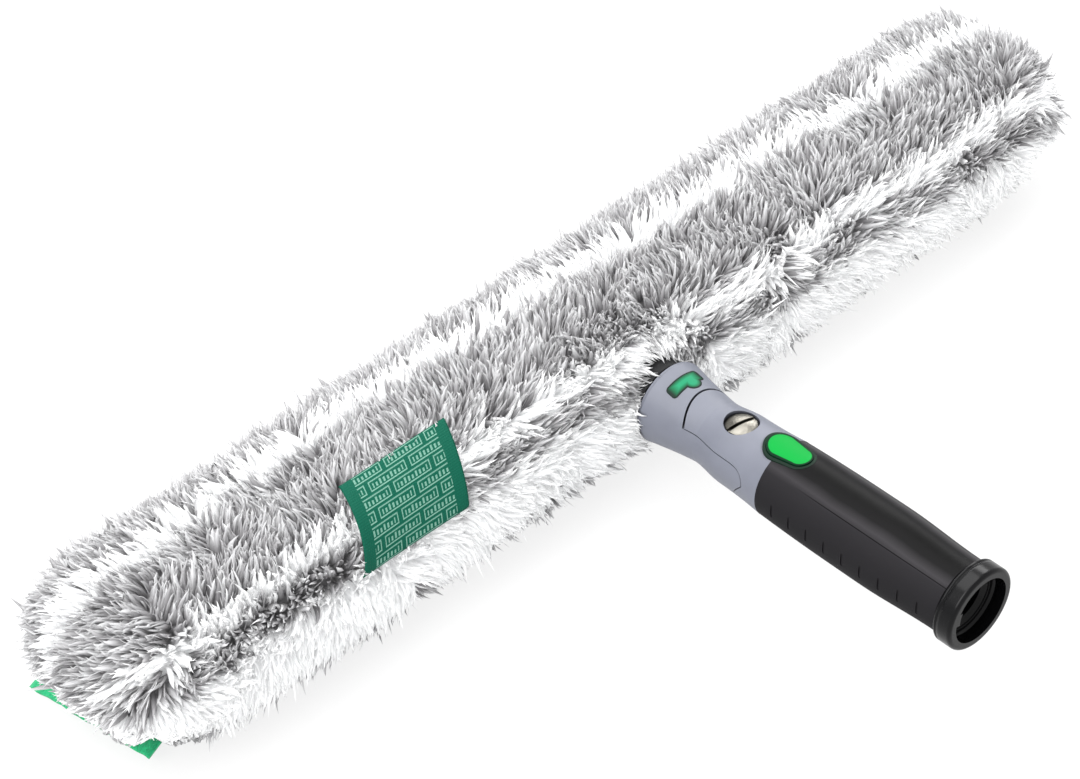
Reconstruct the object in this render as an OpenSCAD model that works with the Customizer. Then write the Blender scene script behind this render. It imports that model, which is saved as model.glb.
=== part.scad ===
// Window scrubber: a T bar in a pull-on pile sleeve, on a short swivel handle with a pole socket.
// Origin: on the pole socket's axis, where its straight bore begins. +Y runs to the sleeve, +Z is up.

/* [Bar and sleeve] */
// Length of the cross bar over its end caps
bar_len = 450; // [300:10:550]
// Width of the bar, front to back
bar_w = 46; // [44:1:48]
// Height of the bar
bar_h = 26; // [25:1:28]
// Wall of the bar
bar_wall = 2.4; // [2:0.2:2.8]
// Pile that stands past each end of the bar
end_pile = 14; // [12:1:18]
// Sleeve over the pile, front to back
sleeve_w = 82; // [80:1:86]
// Sleeve over the pile, height
sleeve_h = 65; // [64:1:68]
// Thickness of the sleeve's knitted backing
backing_t = 2; // [1.5:0.5:2.5]
// Width of the end tabs
tab_w = 56; // [40:1:58]
// Label along the sleeve
label_w = 47; // [30:1:60]
// Label's middle, from the sleeve's middle
label_x = -113; // [-160:1:-60]

/* [Handle] */
// Mouth of the pole socket to the swivel's axis
mouth_to_pivot = 109; // [106:1:116]
// Swivel's axis to the head's rim
pivot_to_rim = 34.5; // [33.5:0.5:35]
// Swivel's axis to the sleeve's centre line
pivot_to_sleeve = 77; // [77:1:80]
// Radius of the neck's waist
waist_r = 12.4; // [12.2:0.1:12.8]
// Radius of the head's flared rim
rim_r = 16; // [15:0.5:17]
// Largest radius of the rubber grip
grip_max_r = 15.4; // [15.2:0.1:16]
// Radius of the end collar
collar_r = 15.8; // [15.4:0.1:16.4]
// Radius of the socket's straight bore
bore_r = 9.5; // [9:0.1:9.8]
// Length of the straight bore
bore_len = 50; // [45:1:50]
// Radius of the socket's mouth
mouth_r = 12.5; // [12:0.1:12.8]

/* [Swivel] */
// Radius of the swivel disc
disc_r = 19.4; // [19.2:0.1:19.6]
// Play round the disc
disc_play = 0.3; // [0.25:0.05:0.35]
// Travel of the thumb button
button_travel = 2; // [1.5:0.1:2]

/* [Hidden] */
$fn = 96;
eps = 0.01;
far = 400;

head_grey = "#a3a8b5";
rubber_black = "#1d1d20";
gloss_black = "#0d0d10";
bright_green = "#00d45a";
deep_green = "#1f7a62";
tab_green = "#15bf73";
pile_grey_colour = "#a29ca0";
pile_white_colour = "#f2f2f0";
steel = "#c9c9c4";
bar_grey = "#5b6068";

mouth_depth = 8;
mouth_y = -mouth_depth;
pivot_y = mouth_y + mouth_to_pivot;
collar_len = 7.5;
collar_back_y = mouth_y + collar_len;
collar_round = 1.4;
step_r = 13.2;
cone_y = -3.5;
liner_r = 11.6;
liner_end_t = 2;
liner_end_y = bore_len + liner_end_t;
fit = 0.05;
core_bore_r = liner_r + fit;
core_tube_r = 12.9;
core_back_y = 0.25;
groove_w = 0.8;
rubber_back_y = collar_back_y + groove_w;
boundary_v = -20.5;
boundary_y = pivot_y + boundary_v;

// Neck: a waist ahead of the pivot that flares to the rim and swells again to the grip.
waist_v = 12;
swell = 1.45;
swell_len = 12.5;
grip_rise = 1;
grip_rise_len = 20;
flare_power = 1.25;
neck_step = 2.5;
function smooth(t) = t * t * (3 - 2 * t);
function neck_r(v) = waist_r + (v > waist_v
  ? (rim_r - waist_r) * pow((v - waist_v) / (pivot_to_rim - waist_v), flare_power)
  : swell * smooth(min(1, (waist_v - v) / swell_len)) + (v < 0 ? grip_rise * pow(v / grip_rise_len, 2) : 0));

// Grip: widest near its middle, drawn in a little at the front and more at the back.
grip_mid_v = -52;
front_drop = 0.55;
back_drop = 1.3;
back_start = 14;
back_len = 34;
grip_step = 3.2;
function clamp01(t) = max(0, min(1, t));
function grip_r(v) = v > grip_mid_v
  ? grip_max_r - front_drop * pow((v - grip_mid_v) / (boundary_v - grip_mid_v), 2)
  : grip_max_r - back_drop * (1 - cos(180 * clamp01((grip_mid_v - v - back_start) / back_len))) / 2;

// Swivel disc: flat faces, a round upper rim and a sloping lower one that meet in a pointed edge.
disc_z = 0.7;
disc_half = 5.3;
disc_top_z = disc_z + disc_half;
disc_low_z = -8.6;
disc_foot_r = 13.6;
disc_flat_r = disc_r - disc_half;
disc_slope = atan((disc_r - disc_foot_r) / (disc_z - disc_low_z));
rim_steps = 8;
cheek_r = 20.2;
head_start_r = 21;
washer_r = 9;
washer_t = 0.5;
washer_seat = 0.4;
washer_gap = (disc_play + washer_seat - washer_t) / 2;
screw_r = 4;
bush_wall = 1.5;
bush_r = screw_r + fit;
bush_out_r = bush_r + bush_wall;
recess_r = 6.4;
recess_z = 10.4;
screw_head_r = 5.7;
screw_head_t = 1.5;
screw_dome = 1.1;
screw_slot_w = 1.5;
screw_slot_deep = 1.5;
screw_slot_turn = -12;
thread_r = 2.5;
nut_r = 4.8;
nut_top_z = -10.6;
nut_t = 2.2;
screw_tip_z = nut_top_z - nut_t;

// Thumb button, its wedge and the bolt that it drives.
button_front_r = 5.9;
button_back_r = 4.6;
button_front_v = -19.4;
button_back_v = -27.4;
button_top_r = 15.7;
button_low_z = 11.6;
button_play = 0.15;
seat_w = 1.1;
seat_low_z = 12.4;
seat_top_r = 15.25;
well_low_z = button_low_z - button_travel - 0.2;
stem_half_x = 2.4;
stem_front_v = -27.5;
stem_back_v = -31.4;
wedge_v = -28;
wedge_gap = 0.2;
stem_play = 0.25;
bolt_half_x = 3;
bolt_half_z = 2.5;
bolt_front_v = -25;
nose_r = 2.2;
nose_tip_v = -20.35;
notch_deep_v = -17.9;
notch_half = 2.6;
button_spring_v = -18.6;
button_spring_r = 2.5;
button_spring_low_z = 7.5;
button_wire = 0.5;
button_turns = 2.6;
bolt_spring_r = 2.9;
bolt_spring_wire = 0.4;
bolt_spring_front_v = -21.7;
bolt_turns = 2.4;

// Sleeve: a stadium section along the bar, with round ends.
sleeve_y = pivot_y + pivot_to_sleeve;
sleeve_z = -2;
sleeve_len = bar_len + 2 * end_pile;
pile_r = sleeve_h / 2;
flat_half = (sleeve_w - sleeve_h) / 2;
dome_x = sleeve_len / 2 - pile_r;
bar_y = sleeve_y;
bar_z = sleeve_z;
bar_corner = 8;
bar_cap_t = 3;
bar_plug = 8;
backing_gap = 0.4;
backing_grow = backing_gap + backing_t;
pile_gap = 0.1;
neck_hole_r = 14.8;
binding_wall = 1.6;
head_neck_r = 12.5;
rim_back_v = pivot_to_rim + 1.3;
saddle_w = 56;
saddle_h = 22;
saddle_t = 3;
tang_w = 30;
tang_h = 16;
tang_len = 30;
tang_play = 0.2;
boss_w = 46;
tang_screw_x = 9;
tang_screw_r = 2;
tang_screw_head_r = 4;
tang_nut_r = 4;
tang_nut_t = 3;
slot_count = 7;
slot_pitch = 27;
slot_len = 17;
slot_w = 8;
first_slot_x = 44;

// Stripes of the pile, as places on the section's edge from the back, over the top, in millimetres.
stripe_edges = [-18, -6, 12, 45, 55, 88, 97, 108, 128, 160, 176, 221];
stripe_gap = 0.1;

tab_lean = 30;
tab_size = 20;
tab_t = 1.4;
tab_low_z = sleeve_z - pile_r + 0.7;
tab_out_x = sleeve_len / 2 - 9;
tab_shift_y = 8;
tab_room = 0.4;
hook_t = 1.2;
hook_w = 50;
hook_h = 12;
label_t = 0.9;
label_off = 0.4;
label_from = 105;
label_to = 157;

// Half the section's edge in a round side, and the places where its straight runs begin.
quarter = PI * pile_r / 2;
edge_len = 4 * quarter + 4 * flat_half;

// Centre and outward angle of the section at place s on its edge.
function edge_at(s0) =
  let (s = (s0 % edge_len + edge_len) % edge_len)
  s < quarter ? [flat_half, s / pile_r * 180 / PI] :
  s < quarter + 2 * flat_half ? [flat_half - (s - quarter), 90] :
  s < 3 * quarter + 2 * flat_half ? [-flat_half, 90 + (s - quarter - 2 * flat_half) / pile_r * 180 / PI] :
  s < 3 * quarter + 4 * flat_half ? [-flat_half + (s - 3 * quarter - 2 * flat_half), 270] :
  [flat_half, 270 + (s - 3 * quarter - 4 * flat_half) / pile_r * 180 / PI];
function edge_point(s, r) =
  let (e = edge_at(s))
  [e[0] + r * cos(e[1]), r * sin(e[1])];

// Tube of wire along a helix about Z, with closed ends: rings of wire_sides points along the coil.
wire_sides = 6;
coil_steps = 24;
function coil_point(r, h, turns, t) = [r * cos(360 * turns * t), r * sin(360 * turns * t), h * t];
function coil_rings(r, wire, h, turns) =
  let (n = ceil(coil_steps * turns))
  [for (i = [0 : n]) let (t = i / n, a = 360 * turns * t, c = coil_point(r, h, turns, t))
    for (k = [0 : wire_sides - 1]) let (b = 360 * k / wire_sides)
      c + wire / 2 * [cos(b) * cos(a), cos(b) * sin(a), sin(b)]];
function coil_gap(r, wire, h, turns) =
  let (n = ceil(coil_steps * turns))
  min([for (i = [0 : n]) for (j = [i + coil_steps / 2 : n])
    norm(coil_point(r, h, turns, j / n) - coil_point(r, h, turns, i / n))]) - wire;
module coil(r, wire, h, turns) {
  n = ceil(coil_steps * turns);
  m = wire_sides;
  sides = [for (i = [0 : n - 1]) for (k = [0 : m - 1])
    [i * m + k, i * m + (k + 1) % m, (i + 1) * m + (k + 1) % m, (i + 1) * m + k]];
  first = [for (k = [m - 1 : -1 : 0]) k];
  last = [for (k = [0 : m - 1]) n * m + k];
  polyhedron(coil_rings(r, wire, h, turns), concat([first], sides, [last]));
}

// Solid of revolution about the handle's axis, from v0 to v1, with radius f(v).
module turned(v0, v1, step, f) {
  n = ceil((v1 - v0) / step);
  profile = [for (i = [0 : n]) let (v = v0 + (v1 - v0) * i / n) [f(v), v]];
  translate([0, pivot_y, 0])
    rotate([-90, 0, 0])
      rotate_extrude()
        polygon(concat([[0, v0]], profile, [[0, v1]]));
}

// Cylinder along Y.
module rod_y(r, y0, y1) {
  translate([0, y0, 0])
    rotate([-90, 0, 0])
      cylinder(r = r, h = y1 - y0);
}

// Cylinder about the swivel's axis.
module rod_z(r, z0, z1) {
  translate([0, pivot_y, z0])
    cylinder(r = r, h = z1 - z0);
}

// Swivel disc, grown by g.
module disc_form(g) {
  rim = [for (i = [0 : rim_steps]) let (t = 90 * i / rim_steps)
    [disc_flat_r + (disc_half + g) * cos(t), disc_z + (disc_half + g) * sin(t)]];
  foot = disc_foot_r + g * (cos(disc_slope) - (1 - sin(disc_slope)) * tan(disc_slope));
  translate([0, pivot_y, 0])
    rotate([0, 0, 90])
      rotate_extrude()
        polygon(concat([[0, disc_low_z - g], [foot, disc_low_z - g]], rim, [[0, disc_top_z + g]]));
}

// The disc's thickness, grown by g, from the pivot forward.
module tongue_slab(g) {
  translate([-far / 2, pivot_y, disc_low_z - g])
    cube([far, far, disc_top_z - disc_low_z + 2 * g]);
}

// Room for the disc in the handle: round behind the pivot, open in front of it.
module disc_slot() {
  disc_form(disc_play);
  tongue_slab(disc_play);
}

// Egg outline of the button, grown by g: a large arc in front, a small one behind, and their tangents.
egg_step = 7.5;
module egg(g) {
  r1 = button_front_r + g;
  r2 = button_back_r + g;
  d = button_front_v - button_back_v;
  a = asin((r1 - r2) / d);
  front = [for (i = [0 : 1 : (180 + 2 * a) / egg_step]) let (t = -a + (180 + 2 * a) * i / floor((180 + 2 * a) / egg_step))
    [r1 * cos(t), r1 * sin(t)]];
  back = [for (i = [0 : 1 : (180 - 2 * a) / egg_step]) let (t = 180 + a + (180 - 2 * a) * i / floor((180 - 2 * a) / egg_step))
    [r2 * cos(t), -d + r2 * sin(t)]];
  translate([0, pivot_y + button_front_v])
    polygon(concat(front, back));
}

module egg_prism(g, z0, z1) {
  translate([0, 0, z0])
    linear_extrude(z1 - z0)
      egg(g);
}

// Profile of the button's stem in (v, z): its lower end is the 45 degree wedge.
module stem(play) {
  top = button_low_z + eps;
  low = disc_z + (stem_back_v - wedge_v) + wedge_gap;
  front_low = disc_z + (stem_front_v - wedge_v) + wedge_gap;
  translate([-stem_half_x - play, pivot_y, 0])
    rotate([90, 0, 90])
      linear_extrude(2 * stem_half_x + 2 * play)
        polygon([
          [stem_back_v - play, top],
          [stem_back_v - play, low - play],
          [stem_front_v + play, front_low - play],
          [stem_front_v + play, top]
        ]);
}

// Bolt: a block with a 45 degree back and a round nose.
module bolt_shape() {
  low = disc_z - bolt_half_z;
  high = disc_z + bolt_half_z;
  translate([-bolt_half_x, pivot_y, 0])
    rotate([90, 0, 90])
      linear_extrude(2 * bolt_half_x)
        polygon([
          [wedge_v - bolt_half_z, low],
          [bolt_front_v, low],
          [bolt_front_v, high],
          [wedge_v + bolt_half_z, high]
        ]);
  translate([0, 0, disc_z])
    rod_y(nose_r, pivot_y + bolt_front_v - eps, pivot_y + nose_tip_v);
}

// Channel of the bolt in the core, long enough for its travel.
module bolt_channel() {
  play = 0.2;
  back_v = stem_back_v - stem_play;
  translate([-bolt_half_x - play, pivot_y + back_v, disc_z - bolt_half_z - play])
    cube([2 * (bolt_half_x + play), bolt_spring_front_v - back_v, 2 * (bolt_half_z + play)]);
  translate([0, 0, disc_z])
    rod_y(nose_r + 0.1, pivot_y + bolt_spring_front_v - eps, pivot_y - disc_flat_r);
  translate([0, 0, disc_z])
    rod_y(bolt_spring_r + bolt_spring_wire, pivot_y + bolt_front_v, pivot_y + bolt_spring_front_v);
}

// Room for the stem through the core, down to its pressed place.
module stem_channel() {
  low = disc_z + (stem_back_v - wedge_v) + wedge_gap - button_travel - stem_play;
  play = stem_play;
  translate([-stem_half_x - play, pivot_y + stem_back_v - play, low])
    cube([2 * (stem_half_x + play), stem_front_v - stem_back_v + 2 * play, button_low_z + play - low]);
}

module button_well() {
  egg_prism(button_play, well_low_z, far / 10);
  egg_prism(seat_w + fit, seat_low_z - fit, far / 10);
}

module grip_core() {
  color(head_grey)
    difference() {
      union() {
        intersection() {
          turned(boundary_v, cheek_r + 1, neck_step, function(v) neck_r(v));
          union() {
            rod_z(cheek_r, -far / 10, far / 10);
            translate([-far / 2, boundary_y - 1, -far / 2])
              cube([far, -boundary_v, far]);
          }
        }
        rod_y(core_tube_r, core_back_y, boundary_y + eps);
      }
      disc_slot();
      rod_y(core_bore_r, core_back_y - 1, liner_end_y + fit);
      rod_z(recess_r, recess_z, far / 10);
      rod_z(screw_r + fit, nut_top_z - 1, recess_z + 1);
      translate([0, pivot_y, -far / 10])
        cylinder(r = nut_r + 0.1, h = far / 10 + nut_top_z, $fn = 6);
      button_well();
      stem_channel();
      bolt_channel();
      translate([0, pivot_y + button_spring_v, button_spring_low_z])
        cylinder(r = button_spring_r + button_wire, h = 6);
    }
}

rib_count = 10;
rib_pitch = 8.1;
rib_first_v = -28.5;
rib_w = 0.8;
rib_h = 5.4;
rib_deep = 0.45;
module flank_ribs() {
  for (side = [-1, 1])
    for (i = [0 : rib_count - 1])
      let (v = rib_first_v - i * rib_pitch, x = grip_r(v) - rib_deep)
        translate([side > 0 ? x : -x - 2, pivot_y + v - rib_w / 2, -rib_h / 2])
          cube([2, rib_w, rib_h]);
}

module grip_rubber() {
  color(rubber_black)
    difference() {
      turned(rubber_back_y - pivot_y, boundary_v, grip_step, function(v) grip_r(v));
      rod_y(core_tube_r + fit, rubber_back_y - 1, boundary_y + 1);
      button_well();
      flank_ribs();
    }
}

lug_in_r = bore_r + 0.15;
lug_w = 5;
lug_len = 3.6;
lug_front = 0.8;
lug_turn = 12;
module pole_socket() {
  a = [for (t = [0 : 15 : 90]) t];
  front_round = [for (t = a) [collar_r - collar_round * (1 - sin(t)), mouth_y + collar_round * (1 - cos(t))]];
  back_round = [for (t = a) [collar_r - collar_round * (1 - cos(t)) / 2, collar_back_y - collar_round * (1 - sin(t)) / 2]];
  color(gloss_black) {
    rotate([-90, 0, 0])
      rotate_extrude()
        polygon(concat(
          [[mouth_r, mouth_y]],
          front_round,
          back_round,
          [
            [step_r, collar_back_y],
            [step_r, core_back_y - fit],
            [liner_r, core_back_y - fit],
            [liner_r, liner_end_y],
            [0, liner_end_y],
            [0, bore_len],
            [bore_r, bore_len],
            [bore_r, 0],
            [mouth_r, cone_y]
          ]
        ));
    intersection() {
      difference() {
        rod_y(mouth_r + 0.5, mouth_y + lug_front, mouth_y + lug_front + lug_len);
        rod_y(lug_in_r, mouth_y, mouth_y + 2 * lug_len);
      }
      rotate([0, lug_turn, 0])
        translate([-collar_r, mouth_y, -lug_w / 2])
          cube([collar_r, 2 * lug_len, lug_w]);
    }
  }
}

module pivot_screw() {
  top = recess_z + screw_head_t;
  dome_r = (screw_head_r * screw_head_r + screw_dome * screw_dome) / (2 * screw_dome);
  color(steel)
    difference() {
      union() {
        rod_z(screw_head_r, recess_z, top);
        intersection() {
          translate([0, pivot_y, top + screw_dome - dome_r])
            sphere(r = dome_r);
          rod_z(screw_head_r, top - eps, top + 2 * screw_dome);
        }
        rod_z(screw_r, nut_top_z + 0.2, recess_z + eps);
        rod_z(thread_r, screw_tip_z, nut_top_z + 0.3);
      }
      translate([0, pivot_y, top + screw_dome - screw_slot_deep])
        rotate(screw_slot_turn)
          translate([-screw_head_r - 1, -screw_slot_w / 2, 0])
            cube([2 * screw_head_r + 2, screw_slot_w, 2 * screw_slot_deep]);
    }
}

module pivot_nut() {
  color(steel)
    translate([0, pivot_y, nut_top_z - nut_t])
      difference() {
        cylinder(r = nut_r, h = nut_t, $fn = 6);
        translate([0, 0, -1])
          cylinder(r = thread_r + fit, h = nut_t + 2);
      }
}

module friction_washers() {
  color(bar_grey)
    for (z0 = [disc_top_z + disc_play - washer_gap - washer_t, disc_low_z - disc_play + washer_gap])
      difference() {
        rod_z(washer_r, z0, z0 + washer_t);
        rod_z(screw_r + 2 * fit, z0 - 1, z0 + washer_t + 1);
      }
}

module button_seat() {
  color(deep_green)
    intersection() {
      difference() {
        egg_prism(seat_w, seat_low_z, 2 * seat_top_r);
        egg_prism(button_play, seat_low_z - 1, 2 * seat_top_r + 1);
      }
      rod_y(seat_top_r, 0, pivot_y);
    }
}

module button_spring() {
  h = button_low_z - button_spring_low_z - button_wire - 0.1;
  color(steel)
    translate([0, pivot_y + button_spring_v, button_spring_low_z + button_wire / 2 + 0.05])
      coil(button_spring_r, button_wire, h, button_turns);
}

module bolt_spring() {
  h = bolt_spring_front_v - bolt_front_v - bolt_spring_wire - 0.1;
  color(steel)
    translate([0, pivot_y + bolt_front_v + bolt_spring_wire / 2 + 0.05, disc_z])
      rotate([-90, 0, 0])
        coil(bolt_spring_r - 0.05, bolt_spring_wire, h, bolt_turns);
}

module lock_button() {
  color(bright_green) {
    intersection() {
      egg_prism(0, button_low_z, 2 * button_top_r);
      rod_y(button_top_r, 0, pivot_y);
    }
    stem(0);
  }
}

module lock_bolt() {
  color(steel)
    bolt_shape();
}

// Outline of the inlay seen from above: a band across the head with a shallow rounded lobe behind it.
inlay_half_x = 7.4;
inlay_front_v = 30;
inlay_back_v = 25;
inlay_corner = 1.4;
lobe_r = 3.3;
lobe_back_v = 22.6;
lobe_x = 2;
module inlay_outline(g) {
  x = inlay_half_x + g - inlay_corner;
  y0 = pivot_y + inlay_back_v - g;
  y1 = pivot_y + inlay_front_v + g;
  translate([-x - inlay_corner, y0 + inlay_corner])
    square([2 * (x + inlay_corner), y1 - y0 - 2 * inlay_corner]);
  translate([-x, y0])
    square([2 * x, y1 - y0]);
  for (sx = [-1, 1])
    for (y = [y0 + inlay_corner, y1 - inlay_corner])
      translate([sx * x, y])
        circle(r = inlay_corner);
  translate([lobe_x, pivot_y + lobe_back_v + lobe_r])
    circle(r = lobe_r + g);
}

inlay_deep = 0.8;
inlay_proud = 0.12;
module head_inlay() {
  color(tab_green)
    intersection() {
      difference() {
        turned(inlay_back_v - 4, inlay_front_v + 2, neck_step, function(v) neck_r(v) + inlay_proud);
        turned(inlay_back_v - 5, inlay_front_v + 3, neck_step, function(v) neck_r(v) - inlay_deep);
      }
      linear_extrude(far / 10)
        inlay_outline(0);
    }
}

module inlay_recess() {
  intersection() {
    difference() {
      turned(inlay_back_v - 4, inlay_front_v + 2, neck_step, function(v) neck_r(v) + 1);
      turned(inlay_back_v - 5, inlay_front_v + 3, neck_step, function(v) neck_r(v) - inlay_deep - fit);
    }
    linear_extrude(far / 10)
      inlay_outline(0.1);
  }
}

bar_front_y = bar_y - bar_w / 2;
module swivel_head() {
  color(head_grey)
    difference() {
      union() {
        intersection() {
          turned(-disc_r - 1, pivot_to_rim, neck_step, function(v) neck_r(v));
          union() {
            disc_form(0);
            tongue_slab(0);
            difference() {
              translate([-far / 2, pivot_y, -far / 2])
                cube([far, far, far]);
              rod_z(head_start_r, -far, far);
            }
          }
        }
        rod_y(rim_r - 0.4, pivot_y + pivot_to_rim - eps, pivot_y + rim_back_v);
        rod_y(head_neck_r, pivot_y + pivot_to_rim, bar_front_y - saddle_t + eps);
        translate([-saddle_w / 2, bar_front_y - saddle_t, bar_z - saddle_h / 2])
          cube([saddle_w, saddle_t - 0.1, saddle_h]);
        translate([-tang_w / 2, bar_front_y - 1, bar_z - tang_h / 2])
          cube([tang_w, tang_len + 1, tang_h]);
      }
      rod_z(bush_out_r + fit, -far / 10, far / 10);
      rod_z(washer_r + 0.3, disc_top_z - washer_seat, disc_top_z + disc_play / 2);
      rod_z(washer_r + 0.3, disc_low_z - disc_play / 2, disc_low_z + washer_seat);
      translate([-notch_half, pivot_y - disc_r - 1, disc_z - notch_half])
        cube([2 * notch_half, disc_r + 1 + notch_deep_v, 2 * notch_half]);
      inlay_recess();
      for (sx = [-1, 1])
        translate([sx * tang_screw_x, bar_y, 0]) {
          cylinder(r = tang_screw_r + 2 * fit, h = far, center = true);
          translate([0, 0, bar_z - tang_h / 2 - 1])
            cylinder(r = tang_nut_r + 0.1, h = tang_nut_t + 1, $fn = 6);
        }
    }
}

module pivot_bush() {
  low = disc_low_z + washer_seat + fit;
  high = disc_top_z - washer_seat - fit;
  color(steel)
    translate([0, pivot_y, 0])
      rotate([0, 0, 90])
        difference() {
          translate([0, 0, low])
            cylinder(r = bush_out_r, h = high - low);
          translate([0, 0, low - 1])
            cylinder(r = bush_r, h = high - low + 2);
        }
}

tang_head_t = 2.1;
module tang_screws() {
  top = bar_z + bar_h / 2 - 0.1;
  color(steel)
    for (sx = [-1, 1])
      translate([sx * tang_screw_x, bar_y, 0]) {
        translate([0, 0, top - tang_head_t])
          cylinder(r1 = tang_screw_r, r2 = tang_screw_head_r, h = tang_head_t);
        translate([0, 0, bar_z - tang_h / 2])
          cylinder(r = tang_screw_r, h = top - tang_head_t - bar_z + tang_h / 2 + eps);
      }
}

module tang_nuts() {
  color(steel)
    for (sx = [-1, 1])
      translate([sx * tang_screw_x, bar_y, bar_z - tang_h / 2])
        difference() {
          cylinder(r = tang_nut_r, h = tang_nut_t - 0.1, $fn = 6);
          translate([0, 0, -1])
            cylinder(r = tang_screw_r + fit, h = tang_nut_t + 2);
        }
}

// Rounded rectangle of the bar's section, grown by g.
module bar_section(g) {
  w = bar_w / 2 + g - bar_corner - g / 2;
  h = bar_h / 2 + g - bar_corner - g / 2;
  r = bar_corner + g / 2;
  square([2 * w, 2 * (h + r)], center = true);
  square([2 * (w + r), 2 * h], center = true);
  for (sy = [-1, 1])
    for (sz = [-1, 1])
      translate([sy * w, sz * h])
        circle(r = r);
}

// The bar's section from x0 to x1.
module bar_block(g, x0, x1) {
  translate([x0, bar_y, bar_z])
    rotate([90, 0, 90])
      linear_extrude(x1 - x0)
        bar_section(g);
}

module water_slots() {
  for (sx = [-1, 1])
    for (i = [0 : slot_count - 1])
      let (x = sx * (first_slot_x + i * slot_pitch))
        if (abs(x) + slot_len / 2 < bar_len / 2 - bar_cap_t - bar_plug - 2)
          translate([x, bar_y, bar_z - bar_h]) {
            translate([-(slot_len - slot_w) / 2, -slot_w / 2, 0])
              cube([slot_len - slot_w, slot_w, 2 * bar_h]);
            for (e = [-1, 1])
              translate([e * (slot_len - slot_w) / 2, 0, 0])
                cylinder(r = slot_w / 2, h = 2 * bar_h);
          }
}

module t_bar() {
  half = bar_len / 2 - bar_cap_t;
  inner_half_h = bar_h / 2 - bar_wall;
  color(bar_grey)
    difference() {
      bar_block(0, -half, half);
      difference() {
        bar_block(-bar_wall, -half - 1, half + 1);
        translate([-boss_w / 2, bar_y - bar_w / 2, bar_z + tang_h / 2 + tang_play])
          cube([boss_w, bar_w, inner_half_h]);
        translate([-boss_w / 2, bar_y - bar_w / 2, bar_z - tang_h / 2 - tang_play - inner_half_h])
          cube([boss_w, bar_w, inner_half_h]);
      }
      water_slots();
      translate([-tang_w / 2 - tang_play, bar_front_y - 1, bar_z - tang_h / 2 - tang_play])
        cube([tang_w + 2 * tang_play, bar_w / 2, tang_h + 2 * tang_play]);
      for (sx = [-1, 1])
        translate([sx * tang_screw_x, bar_y, bar_z]) {
          cylinder(r = tang_screw_r + 2 * fit, h = bar_h);
          translate([0, 0, bar_h / 2 - 0.1 - tang_head_t])
            cylinder(r1 = tang_screw_r + 2 * fit, r2 = tang_screw_head_r + 3 * fit, h = tang_head_t + 0.11);
        }
    }
}

// End cap of the bar on side sx: a plate and a plug.
module bar_cap(sx) {
  half = bar_len / 2 - bar_cap_t;
  color(gloss_black)
    mirror([sx < 0 ? 1 : 0, 0, 0]) {
      bar_block(0, half + fit, half + bar_cap_t);
      bar_block(-bar_wall - 0.1, half - bar_plug, half + fit + eps);
    }
}

module bar_cap_near() {
  bar_cap(-1);
}

module bar_cap_far() {
  bar_cap(1);
}

module sleeve_backing() {
  inner = bar_len / 2 + backing_gap;
  color(pile_white_colour)
    difference() {
      bar_block(backing_grow, -inner - backing_t, inner + backing_t);
      bar_block(backing_gap, -inner, inner);
      translate([-saddle_w / 2 - 1, bar_front_y - 10, bar_z - saddle_h / 2 - 0.5])
        cube([saddle_w + 2, 14, saddle_h + 1]);
    }
}

module neck_binding() {
  color(deep_green)
    difference() {
      rod_y(head_neck_r + 0.2 + binding_wall, pivot_y + rim_back_v + 1.5, bar_front_y - saddle_t - 0.3);
      rod_y(head_neck_r + 0.2, pivot_y, bar_y);
    }
}

// Outer form of the pile: the stadium section along the sleeve, with round ends.
module pile_form() {
  translate([-dome_x, sleeve_y, sleeve_z])
    rotate([90, 0, 90])
      linear_extrude(2 * dome_x) {
        square([2 * flat_half, 2 * pile_r], center = true);
        for (sy = [-1, 1])
          translate([sy * flat_half, 0])
            circle(r = pile_r);
      }
  for (sx = [-1, 1])
    translate([sx * dome_x, sleeve_y, sleeve_z]) {
      rotate([90, 0, 0])
        cylinder(r = pile_r, h = 2 * flat_half, center = true);
      for (sy = [-1, 1])
        translate([0, sy * flat_half, 0])
          sphere(r = pile_r);
    }
}

// Sector of the section between two places on its edge, as a prism along the sleeve.
module stripe_sector(s0, s1) {
  steps = max(2, ceil((s1 - s0) / (quarter / 2)));
  outer = [for (i = [0 : steps]) edge_point(s0 + (s1 - s0) * i / steps, 2 * pile_r)];
  a = edge_at(s0)[0];
  b = edge_at(s1)[0];
  translate([-sleeve_len, sleeve_y, sleeve_z])
    rotate([90, 0, 90])
      linear_extrude(2 * sleeve_len)
        polygon(a == b ? concat([[a, 0]], outer) : concat([[a, 0]], outer, [[b, 0]]));
}

// Room that the pile leaves for the backing, the neck, the end tabs and the closure strips.
module pile_room() {
  inner = bar_len / 2 + backing_grow + pile_gap;
  bar_block(backing_grow + pile_gap, -inner, inner);
  rod_y(neck_hole_r, pivot_y, bar_y);
  translate([-saddle_w / 2 - 1, bar_front_y - saddle_t - 0.3, bar_z - saddle_h / 2 - 1])
    cube([saddle_w + 2, bar_w / 2, saddle_h + 2]);
  for (sx = [-1, 1]) {
    mirror([sx < 0 ? 1 : 0, 0, 0])
      tab_place()
        translate([-tab_size - tab_room, -tab_w / 2 - tab_room, -far / 8])
          cube([far / 8 + tab_size, tab_w + 2 * tab_room, far / 8 + tab_t + tab_room]);
    translate([sx * (inner + hook_t / 2 + 0.1), bar_y, bar_z])
      cube([hook_t + 0.4, hook_w + 1, hook_h + 1], center = true);
  }
}

// Place of an end tab: its outer lower edge, with the tab lying back and up along -X.
module tab_place() {
  translate([tab_out_x, sleeve_y + tab_shift_y, tab_low_z])
    rotate([0, tab_lean, 0])
      children();
}

module stripes(first) {
  difference() {
    union() {
      for (i = [first : 2 : len(stripe_edges) - 2])
        intersection() {
          pile_form();
          stripe_sector(stripe_edges[i] + stripe_gap / 2, stripe_edges[i + 1] - stripe_gap / 2);
        }
    }
    pile_room();
  }
}

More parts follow.
